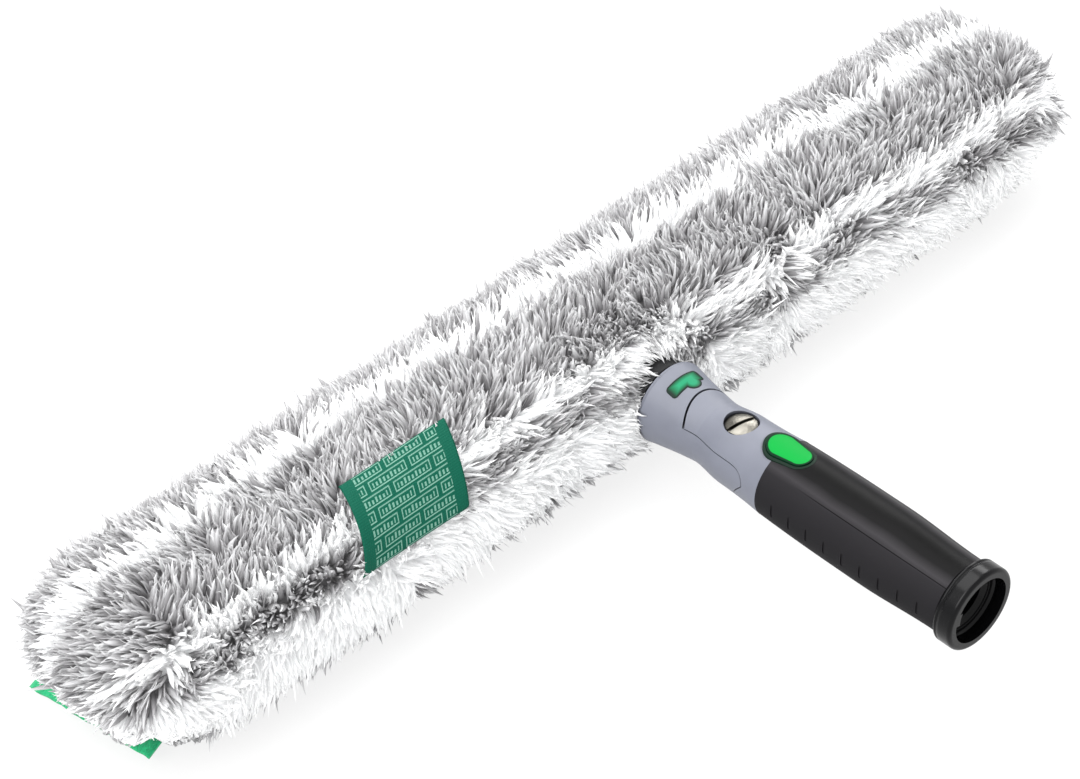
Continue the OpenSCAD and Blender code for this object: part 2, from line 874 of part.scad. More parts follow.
module pile_grey() {
  color(pile_grey_colour)
    stripes(0);
}

module pile_white() {
  color(pile_white_colour)
    stripes(1);
}

module end_tab(sx) {
  color(tab_green)
    mirror([sx < 0 ? 1 : 0, 0, 0])
      tab_place()
        translate([-tab_size, -tab_w / 2, 0])
          cube([tab_size, tab_w, tab_t]);
}

module end_tab_near() {
  end_tab(-1);
}

module end_tab_far() {
  end_tab(1);
}

module closure_hook(sx) {
  x = bar_len / 2 + backing_grow + pile_gap + hook_t / 2;
  color(gloss_black)
    translate([sx * x, bar_y, bar_z])
      cube([hook_t, hook_w, hook_h], center = true);
}

module closure_hook_near() {
  closure_hook(-1);
}

module closure_hook_far() {
  closure_hook(1);
}

// Label: a curved strip just clear of the pile's upper front.
module sleeve_label() {
  inner = pile_r + label_off;
  color(deep_green)
    translate([label_x - label_w / 2, sleeve_y - flat_half, sleeve_z])
      rotate([90, 0, 90])
        rotate([0, 0, label_from])
          linear_extrude(label_w)
            intersection() {
              difference() {
                circle(r = inner + label_t);
                circle(r = inner);
              }
              polygon([
                [0, 0],
                [2 * pile_r, 0],
                [2 * pile_r * cos((label_to - label_from) / 2), 2 * pile_r * sin((label_to - label_from) / 2)],
                [2 * pile_r * cos(label_to - label_from), 2 * pile_r * sin(label_to - label_from)]
              ]);
            }
}

echo(button_spring_least_gap = coil_gap(button_spring_r, button_wire,
  button_low_z - button_spring_low_z - button_wire - 0.1, button_turns));
echo(bolt_spring_least_gap = coil_gap(bolt_spring_r - 0.05, bolt_spring_wire,
  bolt_spring_front_v - bolt_front_v - bolt_spring_wire - 0.1, bolt_turns));

grip_core();
grip_rubber();
pole_socket();
pivot_screw();
pivot_nut();
friction_washers();
button_seat();
button_spring();
bolt_spring();
lock_button();
lock_bolt();
swivel_head();
pivot_bush();
head_inlay();
tang_screws();
tang_nuts();
t_bar();
bar_cap_near();
bar_cap_far();
sleeve_backing();
neck_binding();
pile_grey();
pile_white();
end_tab_near();
end_tab_far();
closure_hook_near();
closure_hook_far();
sleeve_label();
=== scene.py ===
"""Window scrubber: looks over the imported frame. Shapes are worked out in millimetres and put into the meshes in
metres."""
import math

import bpy
import numpy as np
from mathutils import Matrix


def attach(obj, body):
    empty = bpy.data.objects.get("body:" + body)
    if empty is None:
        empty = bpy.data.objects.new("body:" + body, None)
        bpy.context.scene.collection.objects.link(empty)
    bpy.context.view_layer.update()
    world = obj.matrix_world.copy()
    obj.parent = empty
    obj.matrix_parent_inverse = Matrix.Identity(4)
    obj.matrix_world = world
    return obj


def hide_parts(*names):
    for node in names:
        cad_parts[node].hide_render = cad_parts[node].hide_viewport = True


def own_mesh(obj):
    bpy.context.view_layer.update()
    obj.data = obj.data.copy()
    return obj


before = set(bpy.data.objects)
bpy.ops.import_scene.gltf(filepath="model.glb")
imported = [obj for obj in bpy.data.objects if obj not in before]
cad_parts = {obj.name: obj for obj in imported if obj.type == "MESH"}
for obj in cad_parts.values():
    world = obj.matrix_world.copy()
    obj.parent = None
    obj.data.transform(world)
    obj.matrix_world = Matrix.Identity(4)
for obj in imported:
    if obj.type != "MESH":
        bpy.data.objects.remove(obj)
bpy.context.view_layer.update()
rng = np.random.default_rng(11)
MM = 0.001
PI = math.pi

# The sleeve, as in the solids: a stadium section swept along X, with round ends past DOME_X. A place on it is
# (s, x): s runs round the section from the back over the top, and x along the bar and on over the end.
SLEEVE_Y, SLEEVE_Z = 178.0, -2.0
PILE_R, FLAT = 32.5, 8.5
FRONT_Y, BACK_Y = SLEEVE_Y - FLAT, SLEEVE_Y + FLAT
DOME_X = 239.0 - PILE_R
QUARTER = PI * PILE_R / 2
HALF_LEN = DOME_X + QUARTER
EDGE_LEN = 4 * QUARTER + 4 * FLAT
FLOOR_Z = -34.5
PIVOT_Y = 101.0

# Edges of the stripes in s, grey first. They drift by DRIFT over a length of the sleeve and wander by WANDER.
STRIPES = [-18, -6, 12, 45, 55, 88, 97, 108, 139, 164, 176, 221]
DRIFT, DRIFT_START, DRIFT_LEN, WANDER = 8.0, -40, 240, 5.0

# Pile: how deep below its mean outer surface the strands start, the inner pile lies, and a place is tested for
# the neck or a tab; then how near places come to the very tip of an end, and the strands' sizes and colours.
ROOT_DEPTH, UNDER_DEPTH, TEST_DEPTH = 10.0, 10.5, 9
END_GAP = 0.01
RINGS = 6
LOCKS = dict(length=14.0, width=2.9, thick=1.4, sides=3, seed=41, clump=9.0, wild=0.42, lay=0.60)
WISPS = dict(length=14.0, width=0.9, thick=0.0, sides=2, seed=43, clump=5.0, wild=0.5, lay=0.60)
COLLAR = dict(length=14.5, width=2.2, thick=1.1, sides=3, seed=45, clump=6.0, wild=0.3, lay=0.7)
LOCK_SPACING, WISP_SPACING, COLLAR_SPACING = 2.05, 2.1, 1.5
GREY_PILE = dict(root=(0.27, 0.262, 0.272), mid=(0.49, 0.484, 0.495), tip=(0.84, 0.842, 0.85),
                 shadow=0.32, glow=0.09)
WHITE_PILE = dict(root=(0.85, 0.853, 0.858), mid=(0.95, 0.953, 0.956), tip=(0.96, 0.963, 0.966),
                  shadow=0.05, glow=0.24)

# Label: middle in x, width, its two edges as angles about the front round, and its radius there.
LABEL = dict(x=-113.0, w=47.0, a0=math.radians(104), a1=math.radians(157), r=33.1)
# End tabs: outer edge, middle, width along y, slope, reach under the sleeve, and how far they are askew.
TAB = dict(x=230.0, y=186.0, z=-33.8, w=56.0, lean=math.radians(30), size=20.0, askew=7.5)
# The pile by the bar isn't cut back further than this in x, so that the backing's end stays covered.
BAR_END = 231.2


def feed(tree, socket, value):
    """A number, a colour or another node's output into a socket."""
    if isinstance(value, (int, float)):
        socket.default_value = value
    elif isinstance(value, tuple):
        socket.default_value = (*value, 1.0)
    else:
        tree.links.new(value, socket)


def wire(tree, node, sockets):
    """Feeds the named sockets of a node."""
    for name, value in sockets.items():
        feed(tree, node.inputs[name], value)


def node_set(tree, kind, **values):
    """A node of that kind with its plain values set on its own sockets."""
    n = tree.nodes.new(kind)
    for k, v in values.items():
        if k in n.inputs:
            n.inputs[k].default_value = v
        else:
            setattr(n, k, v)
    return n


def bare_material(name):
    """A material whose tree holds only its output; gives the material, the tree and the surface socket."""
    m = bpy.data.materials.new(name)
    m.use_nodes = True
    m.node_tree.nodes.clear()
    out = m.node_tree.nodes.new("ShaderNodeOutputMaterial")
    return m, m.node_tree, out.inputs[0]


def new_material(name):
    """A material with the main shader on its output."""
    m, t, surface = bare_material(name)
    bsdf = t.nodes.new("ShaderNodeBsdfPrincipled")
    t.links.new(bsdf.outputs[0], surface)
    return m, t, bsdf


def shader_of(material):
    """The tree and the main shader of a material made earlier."""
    t = material.node_tree
    return t, next(n for n in t.nodes if n.type == "BSDF_PRINCIPLED")


def ramp(tree, fac, stops):
    """Colours that blend from stop to stop."""
    r = tree.nodes.new("ShaderNodeValToRGB")
    while len(r.color_ramp.elements) < len(stops):
        r.color_ramp.elements.new(0.5)
    for e, (p, c) in zip(r.color_ramp.elements, stops):
        e.position = p
        e.color = (*c, 1.0)
    tree.links.new(fac, r.inputs[0])
    return r.outputs[0]


def math_node(tree, op, a, b=0.0, clamp=False):
    n = tree.nodes.new("ShaderNodeMath")
    n.operation = op
    n.use_clamp = clamp
    feed(tree, n.inputs[0], a)
    feed(tree, n.inputs[1], b)
    return n.outputs[0]


def plus(tree, a, b, clamp=False):
    return math_node(tree, "ADD", a, b, clamp)


def minus(tree, a, b):
    return math_node(tree, "SUBTRACT", a, b)


def times(tree, a, b, clamp=False):
    return math_node(tree, "MULTIPLY", a, b, clamp)


def mix_rgb(tree, fac, a, b):
    """Colour a turned into colour b by fac."""
    n = tree.nodes.new("ShaderNodeMix")
    n.data_type = "RGBA"
    for i, v in ((0, fac), (6, a), (7, b)):
        feed(tree, n.inputs[i], v)
    return n.outputs[2]


def mix_shaders(tree, fac, a, b, surface):
    """Shader a turned into shader b by fac, on the material's output."""
    n = tree.nodes.new("ShaderNodeMixShader")
    feed(tree, n.inputs[0], fac)
    tree.links.new(a.outputs[0], n.inputs[1])
    tree.links.new(b.outputs[0], n.inputs[2])
    tree.links.new(n.outputs[0], surface)


def noise(tree, vec, scale, detail=3.0, rough=0.5):
    n = node_set(tree, "ShaderNodeTexNoise", Scale=scale, Detail=detail, Roughness=rough)
    tree.links.new(vec, n.inputs["Vector"])
    return n.outputs["Fac"]


def stripes(tree, vec, direction, scale=1.0):
    """Soft parallel stripes across one axis."""
    n = node_set(tree, "ShaderNodeTexWave", Scale=scale, wave_profile="SIN", bands_direction=direction)
    tree.links.new(vec, n.inputs["Vector"])
    return n.outputs["Fac"]


def bump(tree, height, strength, distance, normal=None):
    """Relief of a height."""
    n = node_set(tree, "ShaderNodeBump", Strength=strength, Distance=distance)
    tree.links.new(height, n.inputs["Height"])
    if normal is not None:
        tree.links.new(normal, n.inputs["Normal"])
    return n.outputs[0]


def more_bump(tree, bsdf, height, distance):
    """A second relief over the one that the shader has."""
    old = bsdf.inputs["Normal"].links[0].from_socket
    tree.links.new(bump(tree, height, 1.0, distance, old), bsdf.inputs["Normal"])


def object_coords(tree):
    return tree.nodes.new("ShaderNodeTexCoord").outputs["Object"]


def surface_coords(tree):
    return node_set(tree, "ShaderNodeUVMap", uv_map="UVMap").outputs[0]


def split(tree, vec):
    """The three coordinates of a vector."""
    sep = tree.nodes.new("ShaderNodeSeparateXYZ")
    tree.links.new(vec, sep.inputs[0])
    return sep.outputs


def scaled(tree, vec, s):
    n = node_set(tree, "ShaderNodeMapping")
    n.inputs["Scale"].default_value = s
    tree.links.new(vec, n.inputs["Vector"])
    return n.outputs[0]


def smooth_step(tree, value, start, end):
    """0 before start, 1 past end, and a smooth turn between them."""
    n = node_set(tree, "ShaderNodeMapRange", interpolation_type="SMOOTHSTEP")
    wire(tree, n, {"From Min": start, "From Max": end, "Value": value})
    return n.outputs[0]


def moulded(name, colour, rough, grain=0.03, grain_size=0.25, spread=0.06, coat=0.0, metallic=0.0,
            spec=0.5, painted_shade_reach=0.0):
    """Moulded or machined surface: fine grain in the bump, with its size in millimetres, and slow variation in
    colour, by spread each way, and in roughness. Near another surface, within a given reach, it takes painted
    shade: ambient occlusion darkens its colour in gaps and hollows."""
    slow_size, rough_span, grain_depth = 14, 0.12, 0.0002
    painted_shade_power, painted_shade_tone = 1.6, 0.03
    m, t, bsdf = new_material(name)
    co = object_coords(t)
    fine = noise(t, co, 1000 / grain_size, 2.0, 0.6)
    slow = noise(t, co, 1000 / slow_size, 3.0, 0.55)
    dark = tuple(c * (1 - spread) for c in colour)
    light = tuple(min(1.0, c * (1 + spread)) for c in colour)
    col = ramp(t, slow, [(0.3, dark), (0.7, light)])
    # Painted shade: the colour darkens where ambient occlusion finds other surfaces close by.
    if painted_shade_reach:
        ao = node_set(t, "ShaderNodeAmbientOcclusion", Distance=painted_shade_reach)
        near = math_node(t, "POWER", ao.outputs["AO"], painted_shade_power)
        col = mix_rgb(t, near, tuple(c * painted_shade_tone for c in colour), col)
    wire(t, bsdf, {
        "Base Color": col,
        "Roughness": plus(t, times(t, slow, rough_span), rough - rough_span / 2),
        "Normal": bump(t, fine, grain, grain_depth),
        "Metallic": metallic,
        "Specular IOR Level": spec,
        "Coat Weight": coat,
        "Coat Roughness": 0.12})
    return m


def fur_material(name, root, mid, tip, shadow, glow):
    """Lock colour from root to tip along UV v, streaks across UV u, and its own shade from the attribute lock.
    Part of the light goes through the strand, and glow stands for light from the strands around it."""
    streak_size, streak_pull, lock_pull = (26.0, 2.2, 1.0), 0.35, 0.55
    root_at, mid_at, tip_at = 0.12, 0.52, 0.93
    deep, through = 0.55, 0.42
    m, t, surface = bare_material(name)
    uv = surface_coords(t)
    lock = node_set(t, "ShaderNodeAttribute", attribute_name="lock").outputs["Fac"]
    streak = noise(t, scaled(t, uv, streak_size), 1.0, 3.0, 0.6)
    along = plus(t, split(t, uv)[1], times(t, minus(t, streak, 0.5), streak_pull))
    along = plus(t, along, times(t, minus(t, lock, 0.5), lock_pull))
    base = ramp(t, along, [(root_at, root), (mid_at, mid), (tip_at, tip)])
    dark = times(t, math_node(t, "POWER", streak, 2.0), shadow)
    col = mix_rgb(t, dark, base, tuple(c * deep for c in root))
    bsdf = t.nodes.new("ShaderNodeBsdfPrincipled")
    wire(t, bsdf, {
        "Base Color": col,
        "Roughness": 0.62,
        "Specular IOR Level": 0.25,
        "Sheen Weight": 0.25,
        "Sheen Roughness": 0.5,
        "Emission Color": col,
        "Emission Strength": glow,
        "Normal": bump(t, streak, 0.5, 0.0004)})
    back = node_set(t, "ShaderNodeBsdfTranslucent")
    t.links.new(col, back.inputs["Color"])
    mix_shaders(t, through, bsdf, back, surface)
    return m


def put_in_scene(name, data):
    """A new object of that data in the scene."""
    ob = bpy.data.objects.new(name, data)
    bpy.context.scene.collection.objects.link(ob)
    return ob


def build(name, co, *faces, body="head", material, slot, uv=None, attrs=None):
    """Piece from arrays in millimetres, on a body and with its material; slot is not used; uv and attrs are per
    vertex.
    """
    me = bpy.data.meshes.new(name)
    me.vertices.add(len(co))
    me.vertices.foreach_set("co", (np.asarray(co, np.float64) * MM).astype(np.float32).ravel())
    loops = np.concatenate([f.ravel() for f in faces]).astype(np.int32)
    totals = np.concatenate([np.full(len(f), f.shape[1]) for f in faces])
    starts = np.concatenate([[0], np.cumsum(totals)[:-1]]).astype(np.int32)
    me.loops.add(len(loops))
    me.loops.foreach_set("vertex_index", loops)
    me.polygons.add(len(starts))
    me.polygons.foreach_set("loop_start", starts)
    me.polygons.foreach_set("use_smooth", np.full(len(starts), True))
    me.update(calc_edges=True)
    if uv is not None:
        layer = me.uv_layers.new(name="UVMap")
        layer.data.foreach_set("uv", np.asarray(uv, np.float32)[loops].ravel())
    for key, values in (attrs or {}).items():
        me.attributes.new(key, "FLOAT", "POINT").data.foreach_set("value", np.asarray(values, np.float32))
    me.validate()
    me.materials.append(material)
    ob = put_in_scene(name, me)
    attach(ob, body)
    return ob


def grid_quads(n, m, wrap_m=False):
    """Quads of an n by m grid of vertices, row-major; wrap_m joins the last column to the first."""
    i = np.arange(n - 1)[:, None]
    j = np.arange(m if wrap_m else m - 1)[None, :]
    beside = (j + 1) % m
    corners = (i * m + j, i * m + beside, (i + 1) * m + beside, (i + 1) * m + j)
    return np.stack([x.ravel() for x in np.broadcast_arrays(*corners)], 1)


def unit(v, least=1e-9):
    """Vectors of length one; a vector shorter than least is divided by least."""
    return v / np.maximum(np.linalg.norm(v, axis=-1, keepdims=True), least)


def lattice(seed, size):
    """Smooth random field on the plane: values at the corners of square cells, blended inside a cell by
    3 f^2 - 2 f^3 of the place f in it each way; size is the cell's."""
    cells, shift = 97, 31.0
    table = np.random.default_rng(seed).random((cells, cells))

    def field(a, b):
        u, v = np.asarray(a) / size + shift, np.asarray(b) / size + shift
        i, j = np.floor(u).astype(int), np.floor(v).astype(int)
        fu, fv = u - i, v - j
        fu, fv = fu * fu * (3 - 2 * fu), fv * fv * (3 - 2 * fv)

        def across(row):
            return table[i % cells, row % cells] * (1 - fu) + table[(i + 1) % cells, row % cells] * fu

        return across(j) * (1 - fv) + across(j + 1) * fv

    return field


stripe_drift = lattice(5, 38.0)
wide_sway, fine_sway = lattice(21, 46.0), lattice(22, 15.0)
clump_height = lattice(31, 9.0)
wide_lump, fine_lump, under_shade = lattice(51, 5.0), lattice(52, 2.2), lattice(53, 3.0)


def section(s):
    """Flat offset and outward angle (radians) at place s on the sleeve's edge: a quarter round at the back, the
    top's flat, the front's half round, the bottom's flat and the last quarter round."""
    s = np.mod(s, EDGE_LEN)
    q, f = QUARTER, 2 * FLAT
    spans = [s < q, s < q + f, s < 3 * q + f, s < 3 * q + 2 * f]
    off = np.select(spans, [FLAT, FLAT - (s - q), -FLAT, -FLAT + (s - 3 * q - f)], FLAT)
    ang = np.select(
        spans, [s / PILE_R, PI / 2, PI / 2 + (s - q - f) / PILE_R, 1.5 * PI],
        1.5 * PI + (s - 3 * q - 2 * f) / PILE_R)
    return off, ang


def over_end(x):
    """How far over the round end a place lies, as an angle: 0 up to the dome, a quarter turn at its tip."""
    return np.clip((np.abs(x) - DOME_X) / PILE_R, 0, PI / 2)


def sleeve_frame(s, x):
    """Point on the sleeve's middle line, outward normal, and tangents along s and x."""
    off, a = section(s)
    side, b = np.sign(x), over_end(x)
    base = np.stack([np.clip(x, -DOME_X, DOME_X), SLEEVE_Y + off, np.full_like(x, SLEEVE_Z)], 1)
    n = np.stack([side * np.sin(b), np.cos(b) * np.cos(a), np.cos(b) * np.sin(a)], 1)
    ts = np.stack([np.zeros_like(a), -np.sin(a), np.cos(a)], 1)
    tx = np.stack([np.cos(b), -side * np.sin(b) * np.cos(a), -side * np.sin(b) * np.sin(a)], 1)
    return base, n, ts, tx


def is_grey(s, x, fuzz=0.0):
    """True in the grey stripes, which drift a little along the sleeve."""
    start = STRIPES[0]
    shift = DRIFT * np.clip((x - DRIFT_START) / DRIFT_LEN, 0, 1) + WANDER * (stripe_drift(x, s * 0.4) - 0.5)
    p = np.mod(s - shift + fuzz - start, EDGE_LEN) + start
    return np.mod(np.searchsorted(STRIPES, p, side="right") - 1, 2) == 0


def tab_edge(y):
    """How far out the tab's outer edge lies; the tab is sewn on a little askew."""
    return TAB["x"] - 0.5 - TAB["askew"] * (TAB["y"] + TAB["w"] / 2 - y) / TAB["w"]


def over_tab(p, height):
    """True over the end tabs, up to a height: out and up are a point's place from the tab's outer edge, turned
    into the tab's slope."""
    out, up = np.abs(p[:, 0]) - TAB["x"], p[:, 2] - TAB["z"]
    c, s = math.cos(TAB["lean"]), math.sin(TAB["lean"])
    beside = np.abs(p[:, 1] - TAB["y"]) < TAB["w"] / 2
    return (out * c - up * s > -TAB["size"]) & (out * s + up * c < height) & beside


def round_neck(p, depth, radius):
    """True round the head's neck: in front of y = depth and within a radius of its axis."""
    return (p[:, 1] < depth) & (p[:, 0] ** 2 + p[:, 2] ** 2 < radius ** 2)


def off_head(p):
    """A point inside the head's rim or neck moves straight out to its surface."""
    rim_end, rim_r, neck_end, neck_r = 137.4, 16.6, 146, 14.5
    r = np.sqrt(p[..., 0] * p[..., 0] + p[..., 2] * p[..., 2])
    want = np.where(p[..., 1] < rim_end, rim_r, np.where(p[..., 1] < neck_end, neck_r, 0.0))
    k = np.where(r < want, want / np.maximum(r, 1e-3), 1.0)
    p[..., 0] *= k
    p[..., 2] *= k


def under_label(p):
    """Inside the label's outline, a point's radius about the front round is at most the label's less gap."""
    side, low, high, gap = 0.6, 0.06, 0.03, 1.8
    dy, dz = p[..., 1] - FRONT_Y, p[..., 2] - SLEEVE_Z
    r, a = np.sqrt(dy * dy + dz * dz), np.arctan2(dz, dy)
    inside = np.abs(p[..., 0] - LABEL["x"]) < LABEL["w"] / 2 + side
    inside &= (a > LABEL["a0"] + low) & (a < LABEL["a1"] - high)
    k = np.where(inside, np.minimum(1.0, (LABEL["r"] - gap) / np.maximum(r, 1e-3)), 1.0)
    p[..., 1] = FRONT_Y + dy * k
    p[..., 2] = SLEEVE_Z + dz * k


def within_end(p):
    """Low on the round ends, a point stays within a radius of the sleeve's middle line: 29.3, and 8 more round
    y = 195 as exp(-((y - 195) / 9)^2), and 3 more behind y = 200. Between z = -3 and z = -11 this sets in."""
    side = np.sign(p[..., 0])
    mid = np.stack([side * DOME_X, np.clip(p[..., 1], FRONT_Y, BACK_Y), np.full_like(side, SLEEVE_Z)], -1)
    far = np.linalg.norm(p - mid, axis=-1)
    most = 29.3 + 8 * np.exp(-((p[..., 1] - 195) / 9) ** 2) + 3 * (p[..., 1] > 200)
    w = np.clip((-3 - p[..., 2]) / 8, 0, 1) * (np.abs(p[..., 0]) > DOME_X)
    k = 1 - w * (1 - np.minimum(1, most / np.maximum(far, 1e-3)))
    p[...] = mid + (p - mid) * k[..., None]


def clear_of_tabs(p):
    """Above an end tab the pile is cut back along a slant, so that the tab shows: with fall the height over
    z = -30, a point stays within 0.45 fall plus a reach that is 9.5 short of the tab's edge, and 9 more round
    y = 191 as exp(-((y - 191) / 11)^2), where y has 0.76 fall added. Near the bar it isn't cut back past the
    bar's end, so the backing stays covered."""
    front, back = 153, 217
    bar_y, bar_z, cover = 15, 5, 12
    out, fall = np.abs(p[..., 0]), p[..., 2] + 30
    y = p[..., 1] + 0.76 * fall
    reach = tab_edge(y) - 9.5 + 9 * np.exp(-((y - 191) / 11) ** 2)
    w = np.clip((-1 - p[..., 2]) / 6, 0, 1) * ((y > front) & (y < back))
    over = np.maximum(out - 0.45 * fall - reach, 0) * w
    past_bar = np.hypot(np.maximum(np.abs(p[..., 1] - SLEEVE_Y) - bar_y, 0),
                        np.maximum(np.abs(p[..., 2] - SLEEVE_Z) - bar_z, 0))
    over = np.where(past_bar < cover, np.minimum(over, np.maximum(out - BAR_END, 0)), over)
    p[..., 0] -= np.sign(p[..., 0]) * over


def keep_out(p):
    """Moves points of the pile off the head, the label, the floor and the end tabs."""
    above_floor = 0.15
    off_head(p)
    under_label(p)
    p[..., 2] = np.maximum(p[..., 2], FLOOR_Z + above_floor)
    within_end(p)
    clear_of_tabs(p)
    return p


def scatter(spacing, seed):
    """Jittered hexagonal places over the sleeve, thinned over the ends so that the density stays even."""
    jitter, row_step, above_tab = 0.42, 0.866, 3.0
    g = np.random.default_rng(seed)
    s, x = np.meshgrid(np.arange(0, EDGE_LEN, spacing), np.arange(-HALF_LEN, HALF_LEN, spacing * row_step))
    s = s + (np.arange(s.shape[0])[:, None] % 2) * spacing / 2
    s = (s + g.uniform(-jitter, jitter, s.shape) * spacing).ravel()
    x = (x + g.uniform(-jitter, jitter, x.shape) * spacing).ravel()
    x = np.clip(x, -HALF_LEN + END_GAP, HALF_LEN - END_GAP)
    off, _ = section(s)
    curved = np.abs(np.abs(off) - FLAT) < 1e-9
    keep = g.random(len(s)) < np.where(curved, np.cos(over_end(x)), 1.0)
    s, x = s[keep], x[keep]
    base, n, _, _ = sleeve_frame(s, x)
    p = base + n * (PILE_R - TEST_DEPTH)
    keep = ~(round_neck(p, depth=155, radius=14.2) | over_tab(p, above_tab))
    return s[keep], x[keep]


def lean_field(s, x):
    """Which way the pile lies: noise at two scales, a pull downhill, but up the front and over the top towards
    the back, outwards at the ends, and in towards the neck round the head."""
    swirl_s, swirl_x, downhill, outward, uphill, inward = 0.7, 0.85, 0.5, 0.35, 0.9, 1.1
    base, n, ts, tx = sleeve_frame(s, x)
    a = 2 * PI * (1.6 * wide_sway(s, x) + 0.55 * fine_sway(s, x))
    down = np.array([0, 0, -1.0]) - n * (-n[:, 2:3])
    out = tx * np.sign(x)[:, None] * np.clip((np.abs(x) - 150) / 60, 0, 1)[:, None]
    p = base + n * PILE_R
    r = np.sqrt(p[:, 0] ** 2 + p[:, 2] ** 2)
    near = (np.clip((34 - r) / 12, 0, 1) * (p[:, 1] < 165))[:, None]
    to_neck = -p * np.array([1, 0, 1]) / np.maximum(r, 1)[:, None]
    up = (np.clip((122 - s) / 42, 0, 1) * np.clip((s - 10) / 25, 0, 1))[:, None]
    d = ts * np.cos(a)[:, None] * swirl_s + tx * np.sin(a)[:, None] * swirl_x
    d = d + down * downhill * (1 - up) + out * outward - ts * up * uphill
    return d * (1 - near) + to_neck * near * inward


def clump_centres(s, x, cell, seed):
    """Nearest point of a jittered grid for each strand; strands that share one are a clump."""
    table = np.random.default_rng(seed).random((64, 256, 2))
    i, j = np.floor(s / cell), np.floor(x / cell)
    best, cs, cx = np.full(len(s), np.inf), s, x
    for a in (i - 1, i, i + 1):
        for b in (j - 1, j, j + 1):
            h = table[np.mod(a, 64).astype(int), np.mod(b, 256).astype(int)]
            ps, px = (a + h[:, 0]) * cell, (b + h[:, 1]) * cell
            d = (ps - s) ** 2 + (px - x) ** 2
            near = d < best
            best, cs, cx = np.where(near, d, best), np.where(near, ps, cs), np.where(near, px, cx)
    return cs, np.clip(cx, -HALF_LEN + END_GAP, HALF_LEN - END_GAP)


def shortened(root):
    """Share of its length that a strand keeps: low on the sleeve's ends it loses up to 0.55, but only a quarter
    of that round the tab's middle, as 0.75 exp(-((y - tab's middle - 4) / 12)^2)."""
    low = np.clip((np.abs(root[:, 0]) - 198) / 10, 0, 1) * np.clip((-6 - root[:, 2]) / 6, 0, 1)
    return 1 - 0.55 * low * (1 - 0.75 * np.exp(-((root[:, 1] - TAB["y"] - 4) / 12) ** 2))


def strand_lines(g, s, x, length, clump, wild, lay, seed):
    """Middle lines of strands: a cubic curve that leaves the knit along the normal and turns into the lie of the
    pile. Its first control point is 0.55 of the rise above the root; its second is 0.55 of the way to the tip,
    and 0.36 of the rise above that. The tip is pulled 0.2 to 0.62 of the way to its clump's, and a sine wave
    that grows from the root bends the strand sideways."""
    height, height_spread, least_reach = 10.2, 0.7, 3
    k = len(s)
    base, n, _, _ = sleeve_frame(s, x)
    cs, cx = clump_centres(s, x, clump, seed + 1)
    centre, out, _, _ = sleeve_frame(cs, cx)
    lie = lean_field(cs, cx)
    lie = lie - n * np.sum(lie * n, 1, keepdims=True)
    lie = unit(lie, 0.6)
    tall = 1 + 0.16 * (clump_height(cs, cx) - 0.5) * 2
    ln = length * tall * g.uniform(0.82, 1.12, k)
    rough = g.normal(0, wild, (k, 3))
    root = base + n * (PILE_R - ROOT_DEPTH)
    short = shortened(root)
    ln = ln * short
    rise = ((height * tall + g.normal(0, height_spread, k)) * short)[:, None]
    reach = np.sqrt(np.maximum(ln ** 2 - rise[:, 0] ** 2, least_reach ** 2))[:, None]
    tip = root + n * rise + lie * reach * lay + rough * reach * 0.6
    together = centre + out * (PILE_R + 0.4 * tall[:, None]) + lie * reach * lay
    pull = g.uniform(0.2, 0.62, (k, 1))
    tip = tip * (1 - pull) + together * pull
    c1 = root + n * rise * 0.55 + rough * 1.2
    c2 = root * 0.45 + tip * 0.55 + n * rise * 0.36 + lie * 1.2
    t = np.linspace(0, 1, RINGS)[None, :, None]
    q = [v[:, None, :] for v in (root, c1, c2, tip)]
    line = q[0] * (1 - t) ** 3 + 3 * q[1] * t * (1 - t) ** 2 + 3 * q[2] * t * t * (1 - t) + q[3] * t ** 3
    side = unit(np.cross(lie, n))
    turn = t[..., 0] * g.uniform(3.5, 7.5, (k, 1)) + g.uniform(0, 6.28, (k, 1))
    wave = np.sin(turn) * g.uniform(0.2, 0.9, (k, 1))
    line = line + side[:, None, :] * (wave * t[..., 0])[..., None]
    return keep_out(line), n, side


